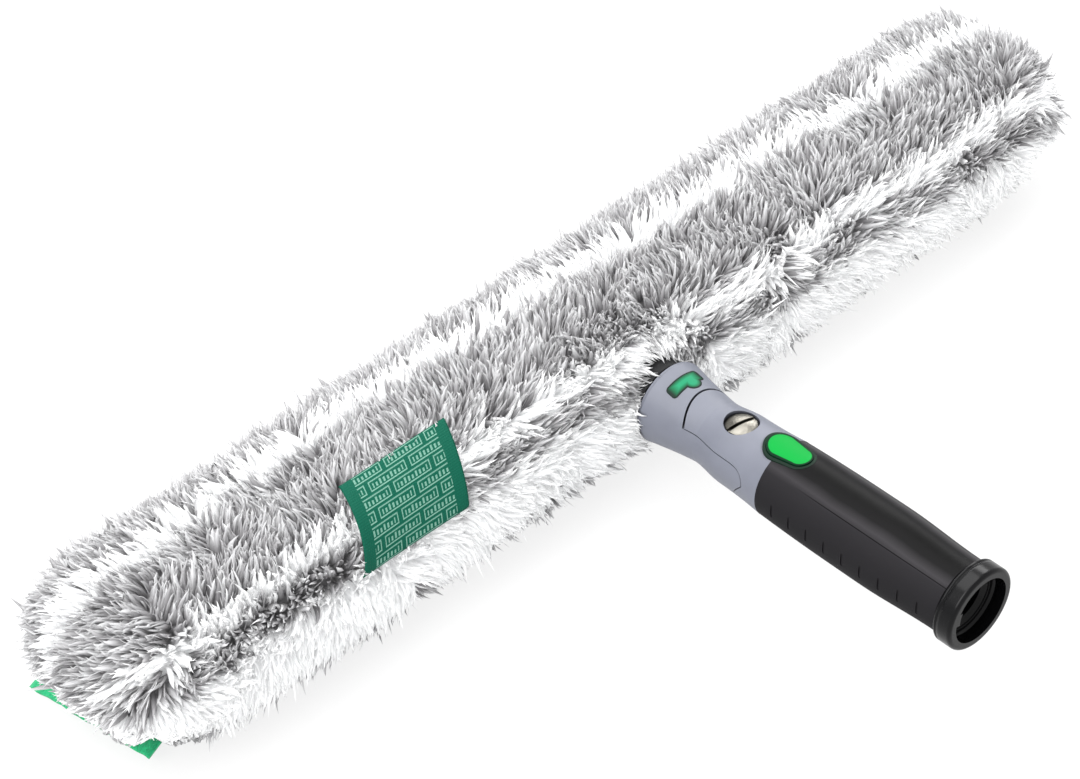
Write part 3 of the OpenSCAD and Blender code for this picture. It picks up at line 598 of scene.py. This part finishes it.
def strands(places, length, width, thick, sides, seed, clump, wild, lay):
    """Tapered bent strands along strand_lines. The section is a polygon of so many sides, or a flat ribbon for
    two, on an ellipse of width by thick that is rolled at random. Along the strand, from t = 0 to 1, it grows
    and shrinks as (1 - t)^0.55 times 0.75 + 0.55 sin(pi times the smaller of 1.15 t and 1)."""
    g = np.random.default_rng(seed)
    s, x = places
    k = len(s)
    line, n, side = strand_lines(g, s, x, length, clump, wild, lay, seed)
    tan = unit(np.gradient(line, axis=1))
    roll = g.uniform(0, PI, (k, 1, 1))
    u = unit(np.cross(tan, n[:, None, :] + 0.3 * side[:, None, :]))
    w = np.cross(tan, u)
    u, w = u * np.cos(roll) + w * np.sin(roll), w * np.cos(roll) - u * np.sin(roll)
    t = np.linspace(0, 1, RINGS)
    taper = np.clip(1 - t, 0, 1) ** 0.55 * (0.75 + 0.55 * np.sin(PI * np.clip(t * 1.15, 0, 1)))
    size = (g.uniform(0.72, 1.3, (k, 1)) * taper[None, :])[:, :-1, None]
    around = [(math.cos(2 * PI * m / sides), math.sin(2 * PI * m / sides)) for m in range(sides)]
    if sides == 2:
        around = [(-1, 0), (1, 0)]
    rings = np.stack([line[:, :-1] + u[:, :-1] * (a * width / 2 * size)
                      + w[:, :-1] * (b * thick / 2 * size) for a, b in around], 2)
    m = RINGS - 1
    per, last = m * sides + 1, (m - 1) * sides
    edges = sides if sides > 2 else 1
    shade = g.random(k)
    v = np.concatenate([np.repeat(t[:-1], sides), [1.0]])
    around_uv = np.concatenate([np.tile(np.arange(sides) / sides, m), [0.5]])
    return dict(
        co=np.concatenate([rings.reshape(k, m * sides, 3), line[:, -1:, :]], 1), per=per, s=s, x=x,
        quads=grid_quads(m, sides, wrap_m=sides > 2),
        cap=np.array([[last + a, last + (a + 1) % sides, per - 1] for a in range(edges)]), shade=shade,
        uv=np.stack([around_uv[None, :] + g.uniform(0, 9, (k, 1)), np.repeat(v[None, :], k, 0)], 2))


def lay_pile(label, tufts, materials, fuzz, splits=1):
    """Cuts the strands into pieces by stripe and by length of sleeve; fuzz blurs the stripes' edges."""
    s, x, per = tufts["s"], tufts["x"], tufts["per"]
    grey = is_grey(s, x, rng.normal(0, fuzz, len(s)))
    edges = np.quantile(x, np.linspace(0, 1, splits + 1))
    edges[0], edges[-1] = -np.inf, np.inf
    made = []
    for colour, flag in (("grey", grey), ("white", ~grey)):
        for i in range(splits):
            pick = np.flatnonzero(flag & (x >= edges[i]) & (x < edges[i + 1]))
            if not len(pick):
                continue
            shift = (np.arange(len(pick)) * per)[:, None, None]
            ob = build(
                f"{label}_{colour}_{i}", tufts["co"][pick].reshape(-1, 3),
                (tufts["quads"][None] + shift).reshape(-1, 4), (tufts["cap"][None] + shift).reshape(-1, 3),
                material=materials[colour], slot=f"{colour}_pile", uv=tufts["uv"][pick].reshape(-1, 2),
                attrs={"lock": np.repeat(tufts["shade"][pick], per)})
            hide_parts(f"pile_{colour}")
            made.append(ob)
    return made


def under_pile(materials):
    """Dense inner pile: the sleeve's surface, UNDER_DEPTH deep, with lumps of up to 3.0 and 1.4 on it, open round
    the neck and over the end tabs."""
    rows, columns, above_tab, tip_gap, across_uv, root_uv = 120, 300, 1.6, 0.05, 3.0, 0.25
    around = np.arange(rows) * EDGE_LEN / rows
    along = np.linspace(-HALF_LEN + tip_gap, HALF_LEN - tip_gap, columns)
    x, s = [v.ravel() for v in np.meshgrid(along, around, indexing="ij")]
    base, n, _, _ = sleeve_frame(s, x)
    lump = wide_lump(s, x) * 3.0 + fine_lump(s, x) * 1.4
    co = keep_out(base + n * (PILE_R - UNDER_DEPTH + lump)[:, None])
    quads = grid_quads(columns, rows, wrap_m=True)
    middle = co[quads].mean(1)
    kept = ~(round_neck(middle, depth=155, radius=13.5) | over_tab(middle, above_tab))
    grey = is_grey(s[quads[:, 0]], x[quads].mean(1))
    uv = np.stack([s / across_uv, np.full(len(s), root_uv)], 1)
    lock = 0.4 + 0.3 * under_shade(s, x)
    made = []
    for colour, flag in (("grey", grey), ("white", ~grey)):
        used, inv = np.unique(quads[flag & kept], return_inverse=True)
        ob = build(f"pile_under_{colour}", co[used], inv.reshape(-1, 4), material=materials[colour],
                   slot=f"{colour}_pile", uv=uv[used], attrs={"lock": lock[used]})
        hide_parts(f"pile_{colour}")
        made.append(ob)
    return made


def pile():
    """Locks and wisps all over, a collar of locks round the neck, and the inner pile under them. No wisp's tip
    reaches the head."""
    mats = {"grey": fur_material("pile_grey", **GREY_PILE), "white": fur_material("pile_white", **WHITE_PILE)}
    locks = strands(scatter(LOCK_SPACING, seed=3), **LOCKS)
    wisps = strands(scatter(WISP_SPACING, seed=4), **WISPS)
    s, x = scatter(COLLAR_SPACING, seed=7)
    base, n, _, _ = sleeve_frame(s, x)
    ring = round_neck(base + n * (PILE_R - TEST_DEPTH), depth=158, radius=25)
    collar = strands((s[ring], x[ring]), **COLLAR)
    clear = ~round_neck(wisps["co"][:, -1], depth=143, radius=22)
    for key in ("co", "shade", "uv", "s", "x"):
        wisps[key] = wisps[key][clear]
    made = lay_pile("pile_locks", locks, mats, fuzz=1.6, splits=4)
    made += lay_pile("pile_wisps", wisps, mats, fuzz=2.4)
    made += lay_pile("pile_neck", collar, mats, fuzz=1.6)
    return made + under_pile(mats)


def shell(name, co, normals, quads, thick, material, slot, uv):
    """Closed thin solid: the surface co, its copy thick behind it along the normals, and a rim round every edge
    that only one quad has."""
    n = len(co)
    e = np.concatenate([quads[:, [i, (i + 1) % 4]] for i in range(4)])
    _, first, count = np.unique(np.sort(e, 1), axis=0, return_index=True, return_counts=True)
    e = e[first[count == 1]]
    rim = np.stack([e[:, 1], e[:, 0], e[:, 0] + n, e[:, 1] + n], 1)
    every = np.concatenate([quads, quads[:, ::-1] + n, rim])
    used, inv = np.unique(every, return_inverse=True)
    co = np.concatenate([co, co - normals * thick])[used]
    uv = np.concatenate([uv, uv])[used]
    return build(name, co, inv.reshape(-1, 4), material=material, slot=slot, uv=uv)


def closed_sheet(name, top, normals, thick, material, slot):
    """shell over an n by m grid of points."""
    n, m, _ = top.shape
    u, v = np.meshgrid(np.linspace(0, 1, n), np.linspace(0, 1, m), indexing="ij")
    uv = np.stack([u, v], 2).reshape(-1, 2)
    return shell(name, top.reshape(-1, 3), normals.reshape(-1, 3), grid_quads(n, m), thick, material, slot, uv)


def label_material():
    """Woven label: plain bands at both sides, and between them rows of small framed bars in a lighter yarn. Each
    row is moved on by half a frame, and each bar's foot jogs up and down."""
    rows, frames, bars = 7.0, 2.6, 11.0
    ground, light = (0.003, 0.082, 0.050), (0.17, 0.34, 0.27)
    m, t, bsdf = new_material("label_weave")
    uv = surface_coords(t)
    u, v, _ = split(t, uv)
    row = times(t, v, rows)
    across = plus(t, times(t, u, frames), times(t, math_node(t, "FLOOR", row), 0.5))
    rf, cf = math_node(t, "FRACT", row), math_node(t, "FRACT", across)

    def band(val, lo, hi):
        return times(t, math_node(t, "GREATER_THAN", val, lo), math_node(t, "LESS_THAN", val, hi))

    outer = times(t, band(cf, 0.05, 0.95), band(rf, 0.10, 0.90))
    inner = times(t, band(cf, 0.075, 0.925), band(rf, 0.20, 0.80))
    bar = times(t, cf, bars)
    jog = math_node(t, "FRACT", times(t, math_node(t, "FLOOR", bar), 0.37))
    foot = plus(t, times(t, jog, 0.18), 0.28)
    bar = times(t, band(math_node(t, "FRACT", bar), 0.25, 0.75), band(rf, foot, 0.72))
    bar = times(t, bar, band(cf, 0.13, 0.87))
    figure = plus(t, minus(t, outer, inner), bar, clamp=True)
    figure = times(t, figure, band(u, 0.11, 0.89))
    yarn = noise(t, scaled(t, uv, (150.0, 100.0, 1.0)), 1.0, 2.0, 0.6)
    figure = times(t, figure, plus(t, times(t, yarn, 0.7), 0.45), clamp=True)
    shade = mix_rgb(t, yarn, tuple(c * 0.7 for c in ground), tuple(c * 1.25 for c in ground))
    threads = scaled(t, uv, (17.0, 11.0, 1.0))
    weave = plus(t, times(t, stripes(t, threads, "X"), stripes(t, threads, "Y")), times(t, figure, 0.6))
    wire(t, bsdf, {
        "Base Color": mix_rgb(t, figure, shade, light),
        "Normal": bump(t, weave, 0.5, 0.0003),
        "Roughness": 0.7,
        "Specular IOR Level": 0.1})
    return m


def label():
    """Label: an arc about X that stands just clear of the pile, lifted a little at its free sides and more at the
    near one, and sewn down at its two edges. u runs across it from -1 to 1, and v up it from 0 to 1."""
    columns, rows, thick = 49, 33, 0.5
    waist, start, askew, sewn, pulled_in = 0.012, 6.0, 10.5, 0.02, 0.54
    u = np.linspace(-1, 1, columns)[:, None]
    v = np.linspace(0, 1, rows)[None, :]
    a = LABEL["a0"] + (LABEL["a1"] - LABEL["a0"]) * v + 0 * u
    x = LABEL["x"] + LABEL["w"] / 2 * u * (1 - waist * np.sin(PI * v)) + start - askew * v
    lift = 0.9 + 0.5 * np.abs(u) ** 3 * np.sin(PI * v) + 0.25 * np.sin(2.4 * u + 5 * v)
    lift = lift + 2.0 * np.clip(-u, 0, 1) ** 2 * np.sin(PI * v) ** 0.7
    r = LABEL["r"] + lift - pulled_in * ((v < sewn) | (v > 1 - sewn))
    top = np.stack([x, FRONT_Y + r * np.cos(a), SLEEVE_Z + r * np.sin(a)], 2)
    nor = np.stack([0 * x, np.cos(a), np.sin(a)], 2)
    ob = closed_sheet("sleeve_label_cloth", top, nor, thick, label_material(), "label_weave")
    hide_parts("sleeve_label")


def tab_material():
    """Brushed loop cloth: a fine fuzz in colour and bump."""
    m, t, bsdf = new_material("tab_loop")
    co = object_coords(t)
    fuzz = noise(t, co, 1500.0, 4.0, 0.7)
    lump = noise(t, co, 260.0, 3.0, 0.6)
    loops = plus(t, times(t, fuzz, 0.6), times(t, lump, 0.4))
    wire(t, bsdf, {
        "Base Color": ramp(t, loops, [(0.34, (0.001, 0.20, 0.08)), (0.62, (0.006, 0.52, 0.20))]),
        "Normal": bump(t, loops, 0.9, 0.0008),
        "Roughness": 0.85,
        "Sheen Weight": 0.2})
    return m


def end_tabs():
    """End tabs: cloth that slopes out from under the pile, with a soft dip and a worn outer edge. y runs along
    the tab from -1 to 1, and d from its outer edge to its hidden one from 0 to 1."""
    columns, rows, thick, above, tilt = 45, 17, 1.2, 1.5, 1.6
    mat = tab_material()
    y = np.linspace(-1, 1, columns)[:, None]
    d = np.linspace(0, 1, rows)[None, :]
    c, s = math.cos(TAB["lean"]), math.sin(TAB["lean"])
    back = d * TAB["size"]
    edge = 0.25 * np.sin(9 * y) + 0.15 * np.sin(23 * y + 1)
    x = tab_edge(TAB["y"] + TAB["w"] / 2 * y) + edge * (1 - d) - back * c
    z = TAB["z"] + above + back * s + 0.5 * np.sin(3 * y + 0.5) * d + tilt * (1 - y)
    along = TAB["y"] + TAB["w"] / 2 * y * (1 - 0.02 * d) + 0 * d
    for side, name in ((-1, "near"), (1, "far")):
        top = np.stack([side * x, along, z], 2)
        nor = np.broadcast_to(np.array([side * s, 0, c]), top.shape)
        ob = closed_sheet(f"end_tab_{name}_cloth", top[::side], nor[::side], thick, mat, "tab_loop")
        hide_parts(f"end_tab_{name}")


def bar_section(grow, n):
    """Points and normals of the bar's section, whose corners have radius 8 about (15, 5), grown by grow."""
    w, h, r = 15.0, 5.0, 8.0 + grow
    a = np.linspace(0, 2 * PI, n, endpoint=False) + PI / n
    ny, nz = np.cos(a), np.sin(a)
    return np.sign(ny) * w + r * ny, np.sign(nz) * h + r * nz, ny, nz


def backing_material():
    """Knit: crossed stripes of stitches in colour and bump."""
    m, t, bsdf = new_material("backing_knit")
    co = object_coords(t)
    knit = times(t, stripes(t, co, "X", 420.0), stripes(t, co, "Z", 420.0))
    wire(t, bsdf, {
        "Base Color": ramp(t, knit, [(0.1, (0.35, 0.34, 0.34)), (0.9, (0.7, 0.69, 0.68))]),
        "Normal": bump(t, knit, 0.7, 0.0004),
        "Roughness": 0.9})
    return m


def backing():
    """Knitted backing: a sleeve round the bar, pulled in a little at its ends and open where the head's neck
    passes. The pieces of the pile are on it."""
    n, steps, half, turn_in, grow, thick = 64, 151, 226.4, 1.2, 2.4, 1.8
    end_scale, open_y, open_x, open_z = 0.93, 160, 30, 12.5
    y, z, ny, nz = bar_section(grow, n)
    end = half + turn_in
    xs = np.concatenate([[-end], np.linspace(-half, half, steps), [end]])
    k = np.ones(len(xs))
    k[[0, -1]] = end_scale
    co = np.stack([np.repeat(xs, n), SLEEVE_Y + np.outer(k, y).ravel(), SLEEVE_Z + np.outer(k, z).ravel()], 1)
    nor = np.tile(np.stack([0 * ny, ny, nz], 1), (len(xs), 1))
    quads = grid_quads(len(xs), n, wrap_m=True)
    c = co[quads].mean(1)
    opening = (c[:, 1] < open_y) & (np.abs(c[:, 0]) < open_x) & (np.abs(c[:, 2] - SLEEVE_Z) < open_z)
    quads = quads[~opening]
    uv = np.stack([np.repeat(xs, n), np.tile(np.arange(n), len(xs))], 1)
    ob = shell("sleeve_backing_knit", co, nor, quads, thick, backing_material(), "backing_knit", uv)
    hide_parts("sleeve_backing")


def rubber_material():
    """Soft rubber: glossy black along the top, matt on the flanks below a low ridge. The angle from the top is
    phi = atan2(|x|, z), in radians; the ridge lies between phi = 0.672 and 0.705, near 39 degrees, and fades
    towards the head, from 0.050 to 0.030 behind the pivot. The colour by phi is painted light and shade: darkest
    along the top, lightest in a painted highlight band near 33 degrees, and between the two on the flanks."""
    m = moulded("grip_rubber", (0.004, 0.004, 0.004), 0.46, grain=0.10, grain_size=0.22, spread=0.15, spec=0.06)
    t, bsdf = shader_of(m)
    co = object_coords(t)
    x, y, z = split(t, co)
    phi = math_node(t, "ARCTAN2", math_node(t, "ABSOLUTE", x), z)
    wobble = times(t, minus(t, noise(t, co, 60.0, 2.0), 0.5), 0.10)
    turn = times(t, plus(t, phi, wobble), 1 / PI)
    # Painted highlight band and painted shade: the black's colour set by the angle from the top.
    painted_highlight_band = ramp(t, turn, [
        (0.03, (0.0014, 0.0013, 0.0014)), (0.11, (0.004, 0.0038, 0.0042)), (0.185, (0.033, 0.031, 0.034)),
        (0.235, (0.017, 0.016, 0.018)), (0.55, (0.011, 0.0105, 0.0118))])
    flank = smooth_step(t, phi, 0.672, 0.705)
    fade = smooth_step(t, minus(t, y, PIVOT_Y * MM), -0.030, -0.050)
    step = times(t, flank, fade)
    line = times(t, step, minus(t, 1.0, flank))
    dark = times(t, line, 3.6, clamp=True)
    wire(t, bsdf, {
        "Base Color": mix_rgb(t, dark, painted_highlight_band, (0.0012, 0.0011, 0.0012)),
        "Roughness": plus(t, times(t, flank, 0.25), 0.36)})
    more_bump(t, bsdf, minus(t, 1.0, step), 0.0003)
    return m


def button_material():
    """Bright button with a dark rim: e = distance from the egg's middle line over its radius there, darkening
    past 0.84. The middle line runs from 27.4 mm behind the pivot, with a radius of 4.6 mm, to 19.4 mm behind
    it, with a radius of 5.9 mm."""
    m = moulded("button_green", (0.0, 0.27, 0.036), 0.5, grain_size=0.3, spread=0.03, spec=0.08)
    t, bsdf = shader_of(m)
    x, y, _ = split(t, object_coords(t))
    lo, hi = (PIVOT_Y - 27.4) * MM, (PIVOT_Y - 19.4) * MM
    mid = math_node(t, "MINIMUM", math_node(t, "MAXIMUM", y, lo), hi)
    dy = minus(t, y, mid)
    radius = plus(t, times(t, minus(t, mid, lo), 1.3 / 8), 0.0046)
    far = math_node(t, "SQRT", plus(t, times(t, x, x), times(t, dy, dy)))
    e = math_node(t, "DIVIDE", far, radius)
    plain = bsdf.inputs["Base Color"].links[0].from_socket
    rim = times(t, minus(t, e, 0.84), 25.0, clamp=True)
    t.links.new(mix_rgb(t, rim, plain, (0.0, 0.018, 0.007)), bsdf.inputs["Base Color"])
    return m


def inlay_material():
    """Inlay: lighter in the middle of its band and lobe, darker towards their edges."""
    m = moulded("inlay_green", (0.0, 0.10, 0.035), 0.45, grain=0.04, grain_size=0.3, spec=0.15)
    t, bsdf = shader_of(m)
    x, y, _ = split(t, object_coords(t))

    def off(value, mid, scale):
        return times(t, math_node(t, "ABSOLUTE", minus(t, value, mid)), scale)

    band = math_node(t, "MAXIMUM", off(x, 0.0, 1 / 0.0074), plus(t, off(y, 0.1285, 0.7 / 0.0025), 0.3))
    lx, ly = off(x, 0.002, 1 / 0.0033), off(y, 0.1269, 1 / 0.0033)
    lobe = math_node(t, "SQRT", plus(t, times(t, lx, lx), times(t, ly, ly)))
    edge = math_node(t, "MINIMUM", band, lobe)
    col = ramp(t, edge, [(0.45, (0.006, 0.22, 0.10)), (0.72, (0.0, 0.11, 0.042)), (0.90, (0.0, 0.012, 0.006))])
    t.links.new(col, bsdf.inputs["Base Color"])
    return m


def socket_material():
    """Gloss plastic with a fine groove round it, 2.1 mm in front of the bore's start, and painted shade within 16
    mm of other surfaces, which darkens the inside of the mouth.
    """
    groove, groove_width = -0.0021, 0.0004
    m = moulded("socket_gloss", (0.003, 0.003, 0.0035), 0.24, grain=0.02, grain_size=0.4, spread=0.1,
                coat=0.04, spec=0.14, painted_shade_reach=0.016)
    t, bsdf = shader_of(m)
    off = times(t, minus(t, split(t, object_coords(t))[1], groove), 1 / groove_width)
    dent = math_node(t, "EXPONENT", times(t, times(t, off, off), -1.0))
    more_bump(t, bsdf, minus(t, 1.0, dent), 0.0005)
    return m


def spring(name, steel, radius, wire_size, free, turns, place, axis):
    """Return spring of a given free length: its wire's middle is (r cos a, r sin a, h t) with a = 2 pi turns t,
    and its section a circle on the outward direction and the spring's axis."""
    n, m = 120, 10
    h, half = free - wire_size, wire_size / 2
    t = np.linspace(0, 1, n)[:, None]
    a, b = 2 * PI * turns * t, np.linspace(0, 2 * PI, m, endpoint=False)[None, :]
    out = radius + half * np.cos(b)
    co = np.stack([out * np.cos(a), out * np.sin(a), h * t + half * np.sin(b)], 2).reshape(-1, 3)
    end = 2 * PI * turns
    middle = np.array([[radius, 0, 0], [radius * np.cos(end), radius * np.sin(end), h]])
    co = np.concatenate([co, middle])
    k = np.arange(m)
    beside = (k + 1) % m
    first = np.stack([k, beside, np.full(m, n * m)], 1)
    last = np.stack([(n - 1) * m + beside, (n - 1) * m + k, np.full(m, n * m + 1)], 1)
    way = (0, 0, 1)
    if axis == "y":
        co, way = np.stack([co[:, 0], co[:, 2], -co[:, 1]], 1), (0, 1, 0)
    ob = build(f"{name}_coil", co + np.array(place), grid_quads(n, m, wrap_m=True)[:, ::-1],
               np.concatenate([first, last]), body="handle", material=steel, slot="spring_steel")
    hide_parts(name)
    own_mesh(ob)


def rigid():
    """Materials of the carried-over CAD nodes, and the two springs."""
    # The grey head and core and the steel take painted shade within 1.2 and 1.5 mm of other surfaces: dark lines
    # along the gaps between parts and in the screw's slot.
    grey = moulded("head_grey", (0.142, 0.150, 0.183), 0.48, grain=0.05, grain_size=0.35, spec=0.4, painted_shade_reach=0.0012)
    steel = moulded("screw_steel", (0.21, 0.20, 0.175), 0.30, grain=0.5, grain_size=0.8, spread=0.4,
                    metallic=1.0, painted_shade_reach=0.0015)
    seat = moulded("seat_green", (0.0, 0.012, 0.005), 0.5, grain_size=0.3, spec=0.15)
    bar = moulded("bar_plastic", (0.10, 0.11, 0.12), 0.5)
    hook = moulded("hook_plastic", (0.03, 0.03, 0.033), 0.6, grain=0.5, grain_size=0.8)
    tape = moulded("binding_tape", (0.004, 0.004, 0.005), 0.8, grain=0.5, grain_size=0.5)
    for material, names in (
        (grey, ["grip_core", "swivel_head"]),
        (rubber_material(), ["grip_rubber"]),
        (socket_material(), ["pole_socket", "bar_cap_near", "bar_cap_far"]),
        (steel, ["pivot_screw", "pivot_nut", "lock_bolt", "pivot_bush", "tang_screws", "tang_nuts"]),
        (bar, ["t_bar", "friction_washers"]),
        (seat, ["button_seat"]),
        (button_material(), ["lock_button"]),
        (inlay_material(), ["head_inlay"]),
        (tape, ["neck_binding"]),
        (hook, ["closure_hook_near", "closure_hook_far"]),
    ):
        for name in names:
            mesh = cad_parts[name].data
            mesh.materials.clear()
            mesh.materials.append(material)
            mesh.polygons.foreach_set("material_index", np.zeros(len(mesh.polygons), np.int32))
    spring("button_spring", steel, radius=2.5, wire_size=0.5, free=4.0, turns=2.6, axis="z",
           place=(0, PIVOT_Y - 18.6, 7.8))
    spring("bolt_spring", steel, radius=2.85, wire_size=0.4, free=3.2, turns=2.4, axis="y",
           place=(0, PIVOT_Y - 24.75, 0.7))


def placed(x, y, z, place):
    """Matrix of an object with these axes at this place."""
    return Matrix([(x[i], y[i], z[i], place[i]) for i in range(3)] + [(0, 0, 0, 1)])


def camera():
    """The photograph's view, as fitted to it."""
    data = bpy.data.cameras.new("camera")
    data.sensor_width = 36.0
    data.lens = 99.84
    data.clip_start = 0.05
    data.clip_end = 20.0
    right = (0.7254861, -0.68772448, -0.02655109)
    up = (0.47816002, 0.47591697, 0.73815041)
    back = (-0.495008, -0.54821353, 0.6741135)
    ob = put_in_scene("camera", data)
    ob.matrix_world = placed(right, up, back, (-0.558265, -0.413768, 0.721882))
    bpy.context.scene.camera = ob


def area(name, place, aim, size, watts):
    """A soft lamp at a place, turned to the point aim, with the first side of its size level."""
    data = bpy.data.lights.new(name, "AREA")
    data.shape = "RECTANGLE"
    data.size, data.size_y = size
    data.energy = watts
    z = unit(np.array(place, float) - np.array(aim, float))
    x = unit(np.cross((0, 0, 1.0), z))
    put_in_scene(name, data).matrix_world = placed(x, np.cross(z, x), z, place)


def studio():
    """White world, a pale floor that shows nearly white and keeps the object's shadow, and three soft lamps."""
    floor_half, floor_gap, floor_grey, floor_glow = 4, 0.0004, 0.86, 0.82
    scene = bpy.context.scene
    scene.view_settings.view_transform = "Standard"
    world = bpy.data.worlds.new("studio")
    scene.world = world
    world.use_nodes = True
    t = world.node_tree
    t.nodes.clear()
    out = t.nodes.new("ShaderNodeOutputWorld")
    sky = node_set(t, "ShaderNodeBackground", Color=(1, 1, 1, 1), Strength=1.0)
    t.links.new(sky.outputs[0], out.inputs[0])
    me = bpy.data.meshes.new("floor")
    z = FLOOR_Z * MM - floor_gap
    corners = [(x * floor_half, y * floor_half, z) for x, y in ((-1, -1), (1, -1), (1, 1), (-1, 1))]
    me.from_pydata(corners, [], [(0, 1, 2, 3)])
    put_in_scene("floor", me)
    m, t, surface = bare_material("floor")
    matt = node_set(t, "ShaderNodeBsdfDiffuse", Color=(floor_grey, floor_grey, floor_grey, 1))
    white = node_set(t, "ShaderNodeEmission", Color=(1, 1, 1, 1), Strength=1.0)
    ray = t.nodes.new("ShaderNodeLightPath").outputs
    seen = math_node(t, "MAXIMUM", ray["Is Camera Ray"], ray["Is Glossy Ray"])
    mix_shaders(t, times(t, seen, floor_glow), matt, white, surface)
    me.materials.append(m)
    area("key", (-0.9, 0.1, 1.0), (0, 0.1, 0), (0.7, 1.0), 15)
    area("top", (0.1, 0.5, 1.3), (0, 0.15, 0), (1.2, 0.8), 14)
    area("rim", (0.9, 0.7, 0.7), (0, 0.05, 0), (0.8, 0.4), 7)


camera()
studio()
rigid()
pile_pieces = pile()
label()
end_tabs()
backing()
